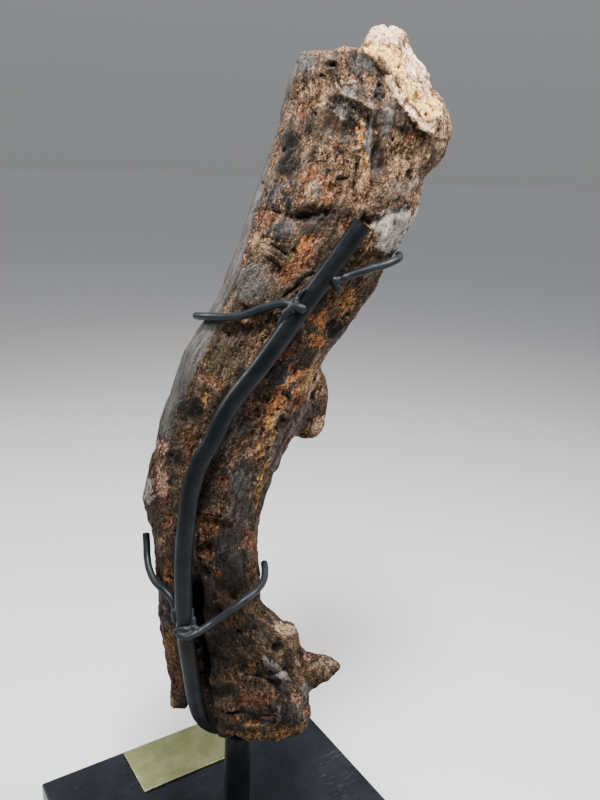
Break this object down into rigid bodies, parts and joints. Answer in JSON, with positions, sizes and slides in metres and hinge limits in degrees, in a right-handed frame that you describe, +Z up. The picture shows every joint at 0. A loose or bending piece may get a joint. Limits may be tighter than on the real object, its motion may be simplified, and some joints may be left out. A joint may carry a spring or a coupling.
{
  "type": "fossil dinosaur bone on a display stand",
  "caption": "Fossil thigh bone of a small dinosaur, bowed, with broken ends, held upright by a bent bar with thin arms on a square black base with a plain plate.",
  "frame": {"origin": "centre of the square underside of the base", "axes": "+Z up through the post; +Y towards the base's edge that carries the name plate; +X along that edge"},
  "size_m": [0.2542, 0.24, 0.6163],
  "materials": {
    "fossil_bone": "mineralised bone, dark brown with rust, ochre and blue-grey patches, matt with a smooth grey margin",
    "black_paint": "satin black paint on steel bar",
    "black_slab": "satin black lacquer on a thick board",
    "pale_brass": "pale satin brass, lightly scratched"
  },
  "bodies": {
    "root": {"bone": "fossil_bone", "spine_rod": "black_paint", "upper_left_arm": "black_paint", "upper_right_arm": "black_paint", "lower_left_arm": "black_paint", "lower_right_arm": "black_paint", "post": "black_paint", "base": "black_slab", "name_plate": "pale_brass"}
  },
  "joints": []
}
